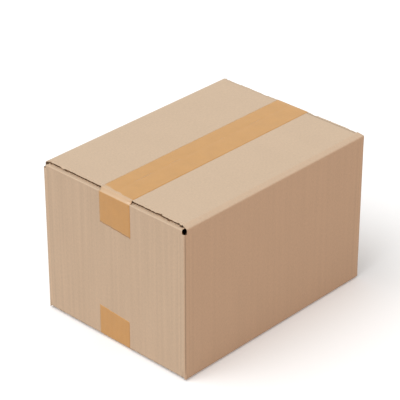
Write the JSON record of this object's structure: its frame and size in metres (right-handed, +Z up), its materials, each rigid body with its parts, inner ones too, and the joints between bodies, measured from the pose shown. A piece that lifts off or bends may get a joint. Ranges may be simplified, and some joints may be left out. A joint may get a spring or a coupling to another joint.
{
  "type": "closed cardboard box",
  "caption": "Closed corrugated cardboard box: a folded blank with its top and bottom flaps taped shut.",
  "frame": {"origin": "centre of the bounding box's underside, on the surface that the box stands on", "axes": "+X along the length and the taped seams, +Y across the width, +Z up"},
  "size_m": [0.3074, 0.226, 0.2003],
  "materials": {
    "board": "matt kraft",
    "tape": "satin film"
  },
  "bodies": {
    "root": {"carton": "board", "top_tape": "tape", "bottom_tape": "tape"}
  },
  "joints": []
}
